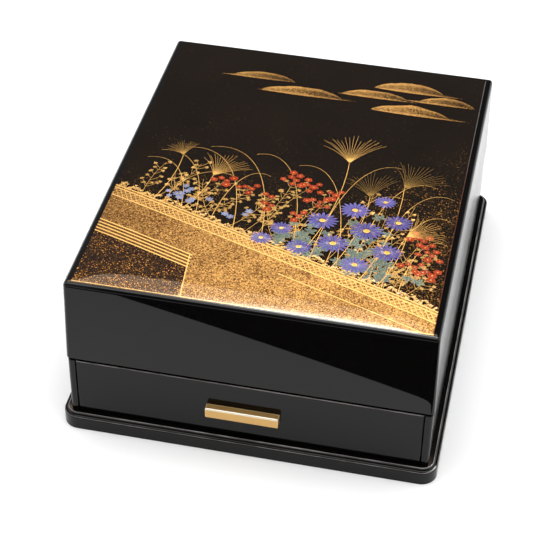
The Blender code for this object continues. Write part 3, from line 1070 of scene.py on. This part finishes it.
class BOX_OT_rules(bpy.types.Operator):
    """Draw the gold rules along the bank"""
    bl_idname = "lacquer_box.rules"
    bl_label = "Gold rules"

    def execute(self, context):
        look = context.scene.box_picture
        shape = context.scene.box_lid
        half_x, half_y = top_half_sizes()
        side = half_x - shape.side_border
        front = -half_y + shape.front_border + 0.1 * MM

        def rule(below, first, last):
            """A straight rule below the bank's edge, between two values of x, kept on the picture."""
            drop = below * BANK_LENGTH
            ends = []
            for x in (first, last):
                y = bank_edge(x) - drop
                if y < front:
                    x, y = (BANK_MIDDLE - drop - front) / -BANK_SLOPE, front
                ends.append((x, y))
            (x0, y0), (x1, y1) = ends
            return [(x0 + (x1 - x0) * i / 29, y0 + (y1 - y0) * i / 29) for i in range(30)]

        def drawn(points, width, tint):
            return points, width * MM, width * MM, tint

        strokes = [drawn(rule(b, -side, side), 0.85, 0.15) for b in (0.0, *EDGING)]
        strokes += [drawn(rule(CORNER_START - RULE_STEP * k, -side, CORNER_RIGHT), 0.95, 0.10)
                    for k in range(5)]
        strokes.append(drawn(rule(*RIGHT_RULE, side), 0.75, 0.2))
        cut_top = bank_edge(CORNER_RIGHT) - CORNER_CUT * BANK_LENGTH
        steps = [i / 11 for i in range(12)]
        strokes.append(drawn([(CORNER_RIGHT + (t - 0.5) * 4.0 * MM, cut_top + (front - cut_top) * t)
                              for t in steps], 0.8, 0.2))
        gold = line_material("rule_gold", look.line_gold, look.deep_gold)
        piece = grow("gold_rules", line_mesh("gold_rules", strokes), stroke_tree(),
                     {"Thickness": 0.12, "Material": gold}, 0.03 * MM)
        finish_piece(piece, "box")
        return {"FINISHED"}


class BOX_OT_grasses(bpy.types.Operator):
    """Draw the stems, the grass blades and the plumes"""
    bl_idname = "lacquer_box.grasses"
    bl_label = "Grasses"

    def execute(self, context):
        look = context.scene.box_picture
        garden = Garden(look)
        gold = line_material("stem_gold", look.stem_gold, look.olive)
        stems = grow("stems", line_mesh("stems", garden.stems), stroke_tree(),
                     {"Thickness": 0.30, "Material": gold}, 0.04 * MM)
        finish_piece(stems, "box")
        plumes = grow("plumes", point_mesh("plumes", garden.plumes), plume_tree(), {
            "Awns": 17, "Spread": radians(66), "Curl": 0.90, "Width": 0.27 * MM, "Seed": 3,
            "Material": gold}, 0.12 * MM)
        finish_piece(plumes, "box")
        return {"FINISHED"}


class BOX_OT_figures(bpy.types.Operator):
    """Paint the leaves, buds and flowers"""
    bl_idname = "lacquer_box.figures"
    bl_label = "Leaves and flowers"

    def execute(self, context):
        look = context.scene.box_picture
        grown = Garden(look).figures
        tree = figure_tree()

        def ring(petals):
            """Spread that closes a ring of petals."""
            return 2 * pi * (petals - 1) / petals

        hearts = [(x, y, 0.20 * r, turn, 0.2 * tint) for x, y, r, turn, tint in grown["daisies"]]
        hearts += [(x, y, 0.19 * r, turn, 0.6 * tint)
                   for x, y, r, turn, tint in grown["reds"] + grown["skies"]]
        # name, figures, petals, spread, heart, width, tip, droop, height, lift, material
        kinds = (
            ("leaflets", grown["leaflets"], 2, 0.7, 0.0, 0.46, 0.9, 0.0, 0.05,
             0.02, painted_material("leaflet_gold", look.leaf_gold, look.line_gold, 0.2)),
            ("broad_leaves", grown["leaves"], 5, radians(205), 0.0, 0.42, 1.20, 0.40, 0.06,
             0.05, painted_material("leaf_sage", look.sage, look.sage_rim)),
            ("buds", grown["buds"], 3, radians(240), 0.0, 0.70, 0.9, 0.0, 0.10,
             0.05, painted_material("bud_gold", look.line_gold, look.gold, 0.3)),
            ("red_flowers", grown["reds"], 5, ring(5), 0.10, 0.78, 1.25, 0.0, 0.08,
             0.08, painted_material("petal_red", look.red, look.red_rim)),
            ("sky_flowers", grown["skies"], 6, ring(6), 0.10, 0.55, 1.1, 0.0, 0.08,
             0.08, painted_material("petal_sky", look.sky, look.sky_rim)),
            ("daisies", grown["daisies"], 17, ring(17), 0.16, 0.185, 1.55, 0.0, 0.08,
             0.10, painted_material("petal_violet", look.violet, look.violet_rim)),
            ("hearts", hearts, 7, ring(7), 0.0, 0.95, 1.0, 0.0, 0.14,
             0.12, painted_material("heart_gold", look.heart, look.line_gold, 0.2)),
        )
        for name, figures, petals, spread, heart, width, tip, droop, height, lift, material in kinds:
            flat = [(x, y / look.squash, r, turn, tint) for x, y, r, turn, tint in figures]
            piece = grow(name, point_mesh(name, flat), tree, {
                "Petals": petals, "Spread": spread, "Heart": heart, "Width": width, "Tip": tip,
                "Droop": droop, "Height": height * MM, "Steps": 5 if name == "leaflets" else 7,
                "Seed": 5, "Material": material}, lift * MM, look.squash)
            finish_piece(piece, "box")
        return {"FINISHED"}


def gilt_material():
    """Gilt metal, brushed along X, with painted highlights: lighter beside its edges and near-white along the
    top front edge.
    """
    look = bpy.context.scene.box_pull
    material, tree, shader = new_material("brushed_gilt", {"Metallic": 0.55})
    x, y, z, vector = coordinates(tree)
    low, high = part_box("drawer_pull")
    from_middle = [v - (a + b) / 2 for v, a, b in zip((x, y), low, high)]
    # Painted highlights: lighter gilt beside all the edges, near-white along the top front edge.
    near = edge_nearness(*from_middle, z, low, high).ramp(0.9 * MM, 0.4 * MM)
    crest_highlight = (high[2] - z).most(y - low[1]).ramp(1.4 * MM, 0.8 * MM)
    stretched = node(tree, "ShaderNodeMapping", None, {"Vector": vector, "Scale": (30.0, 2600.0, 2600.0)})
    lines = noise(tree, stretched, 1.0, 3.0, 0.6)
    color = mixed(tree, lines * 0.6 + noise(tree, vector, 90.0) * 0.3, 0.72 * look.metal, look.metal)
    color = mixed(tree, crest_highlight, mixed(tree, near * 0.7, color, look.near), look.edge)
    feed(tree, shader, {"Base Color": color, "Roughness": 0.15 + 0.16 * lines,
                        "Normal": bump(tree, lines, 0.25, 0.03 * MM)})
    return material


class BOX_OT_pull(bpy.types.Operator):
    """Make the gilt bar on the drawer"""
    bl_idname = "lacquer_box.pull"
    bl_label = "Pull"

    def execute(self, context):
        shape = context.scene.box_pull
        low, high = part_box("drawer_pull")
        bm = box_bmesh(low, high)
        bevel(bm, [e for e in bm.edges if any(v.co.y < high[1] - 1e-5 for v in e.verts)], shape.arris, 6)
        piece = add_object("gilt_pull", bm)
        smooth(piece.data)
        soften_normals(piece)
        piece = make_plain(piece)
        piece.data.materials.append(gilt_material())
        finish_piece(piece, "drawer", ["drawer_pull"])
        return {"FINISHED"}


def aim(obj, place, target):
    """Puts an object at a place, facing a target."""
    obj.location = place
    obj.rotation_euler = (Vector(target) - Vector(place)).to_track_quat("-Z", "Y").to_euler()


def softbox(name, place, target, width, height, radiance, mirrored):
    """A rectangular light, seen either only in mirrors or only by its light on matt surfaces."""
    light = bpy.data.lights.new(name, "AREA")
    light.shape = "RECTANGLE"
    light.size = width
    light.size_y = height
    light.energy = radiance * pi * width * height
    made = bpy.data.objects.new(name, light)
    aim(made, place, target)
    made.visible_diffuse = not mirrored
    made.visible_glossy = mirrored
    bpy.context.scene.collection.objects.link(made)
    return made


def mirrored_card(name, bm, material):
    """A card on the stage that shows only in mirrors."""
    card = add_object(name, bm)
    card.data.materials.append(material)
    card.visible_camera = card.visible_diffuse = card.visible_shadow = False
    return card


def glowing_card(name, place, target, width, height, strength):
    """A white card that fades into the haze towards its left end and its lower edge."""
    look = bpy.context.scene.box_studio
    material, tree, shader = new_material(name, {
        "Base Color": (0.0, 0.0, 0.0, 1.0), "Roughness": 1.0, "Specular IOR Level": 0.0,
        "Emission Strength": strength})
    x, y, _, _ = coordinates(tree)
    glow = x.ramp(0.5 * width, 0.5 * width - 0.45) * y.ramp(-0.5 * height, -0.5 * height + 0.09)
    faded = look.haze_radiance / strength * look.haze
    feed(tree, shader, {"Emission Color": mixed(tree, glow, faded, (1.0, 1.0, 1.0))})
    bm = bmesh.new()
    bmesh.ops.create_grid(bm, x_segments=1, y_segments=1, size=0.5,
                          matrix=Matrix.Diagonal((width, height, 1, 1)))
    aim(mirrored_card(name, bm, material), place, target)


def studio_world():
    """A pale surround, dark up behind the box and before it, and brightest straight above."""
    world = bpy.data.worlds.new("studio")
    bpy.context.scene.world = world
    world.use_nodes = True
    tree = world.node_tree
    x, y, z = parts_of(tree, node(tree, "ShaderNodeTexCoord", output="Generated"))
    behind = z.ramp(0.10, 0.36) * y.ramp(0.10, 0.50) * x.ramp(0.80, 0.55) * z.ramp(0.88, 0.80)
    before = z.ramp(0.06, 0.22) * y.ramp(-0.15, -0.40) * z.ramp(0.93, 0.86)
    strength = 1.50 - 1.40 * behind.most(1.03 * before) + 2.5 * z.ramp(0.90, 0.96)
    tree.links.new(strength.socket, tree.nodes["Background"].inputs["Strength"])
    tree.nodes["Background"].inputs["Color"].default_value = (1.0, 1.0, 1.0, 1.0)


def studio_camera(look):
    """The camera at the photograph's viewing angle."""
    forward = Vector((-sin(look.yaw) * cos(look.pitch), cos(look.yaw) * cos(look.pitch), -sin(look.pitch)))
    right = Vector((cos(look.yaw), sin(look.yaw), 0.0))
    down = forward.cross(right)
    turned_right = cos(look.roll) * right + sin(look.roll) * down
    turned_down = cos(look.roll) * down - sin(look.roll) * right
    data = bpy.data.cameras.new("camera")
    data.sensor_width = 36.0
    data.lens = look.lens
    data.clip_start = 0.01
    data.clip_end = 100.0
    made = bpy.data.objects.new("camera", data)
    axes = Matrix((turned_right, -turned_down, -forward)).transposed().to_4x4()
    made.matrix_world = Matrix.Translation(look.eye) @ axes
    bpy.context.scene.collection.objects.link(made)
    bpy.context.scene.camera = made


class BOX_OT_stage(bpy.types.Operator):
    """Make the pale table, the soft light and the camera"""
    bl_idname = "lacquer_box.stage"
    bl_label = "Stage"

    def execute(self, context):
        look = context.scene.box_studio
        context.scene.view_settings.view_transform = "Standard"
        studio_world()
        studio_camera(look)
        bm = bmesh.new()
        bmesh.ops.create_circle(bm, cap_ends=True, segments=64, radius=9.0,
                                matrix=Matrix.Translation((0, 0, CAD_LOW[2] - 0.0002)))
        table = add_object("table", bm)
        material, _, shader = new_material("table_white", {"Roughness": 0.9, "Specular IOR Level": 0.0})
        shader.inputs["Base Color"].default_value = (*look.floor, 1.0)
        table.data.materials.append(material)
        edge = (-0.136, -0.313, 0.0)           # middle of the black card's back edge
        turn = atan2(0.075, 0.245)             # direction of that edge
        bm = bmesh.new()
        bmesh.ops.create_grid(bm, x_segments=1, y_segments=1, size=1.0, matrix=(
            Matrix.Translation(edge) @ Matrix.Rotation(turn, 4, "Z")
            @ Matrix.Diagonal((0.8, 0.5, 1, 1)) @ Matrix.Translation((0, -1, 0))))
        mirrored_card("black_card", bm, new_material("card_black", {
            "Base Color": (0.01, 0.01, 0.01, 1.0), "Roughness": 0.9, "Specular IOR Level": 0.0})[0])
        slope = Vector((0.0, 0.35, 1.0)).normalized()         # the rear softbox leans back by this
        behind = Vector((0.0, 1.45, 1.695)) + slope * 0.5     # its middle, above its lower edge
        rear = softbox("rear_softbox", behind, behind + slope.cross(Vector((-1, 0, 0))), 2.6, 1.0,
                       look.haze_radiance, True)
        rear.data.color = look.haze
        glowing_card("edge_card", (0.30, 1.12, 1.80), (0.30, -0.16, 0.13), 1.80, 0.46, 24.0)
        softbox("fill_softbox", (0.0, 0.0, 3.0), (0.0, 0.0, 0.0), 4.0, 4.0, 1.0, False)
        return {"FINISHED"}


OPERATORS = (BOX_OT_stage, BOX_OT_base, BOX_OT_case, BOX_OT_lid, BOX_OT_rules, BOX_OT_grasses, BOX_OT_figures,
             BOX_OT_drawer, BOX_OT_pull)


class BOX_PT_panel(bpy.types.Panel):
    """Lists the box's pieces"""
    bl_idname = "BOX_PT_panel"
    bl_label = "Lacquer Box"
    bl_space_type = "VIEW_3D"
    bl_region_type = "UI"
    bl_category = "Lacquer Box"

    def draw(self, context):
        for operator in OPERATORS:
            self.layout.operator(operator.bl_idname)


GROUPS = {"box_lacquer": LacquerSettings, "box_lid": LidSettings, "box_base": BaseSettings,
          "box_picture": PictureSettings, "box_pull": PullSettings, "box_studio": StudioSettings}


def register():
    """Makes the settings, operators and panel known to Blender."""
    for cls in (*GROUPS.values(), *OPERATORS, BOX_PT_panel):
        bpy.utils.register_class(cls)
    for name, cls in GROUPS.items():
        setattr(bpy.types.Scene, name, PointerProperty(type=cls))


def unregister():
    """Takes them out again."""
    for name in GROUPS:
        delattr(bpy.types.Scene, name)
    for cls in reversed((*GROUPS.values(), *OPERATORS, BOX_PT_panel)):
        bpy.utils.unregister_class(cls)


def main():
    """Builds every piece in order."""
    register()
    for operator in OPERATORS:
        group, name = operator.bl_idname.split(".")
        getattr(getattr(bpy.ops, group), name)()


if __name__ == "__main__":
    main()
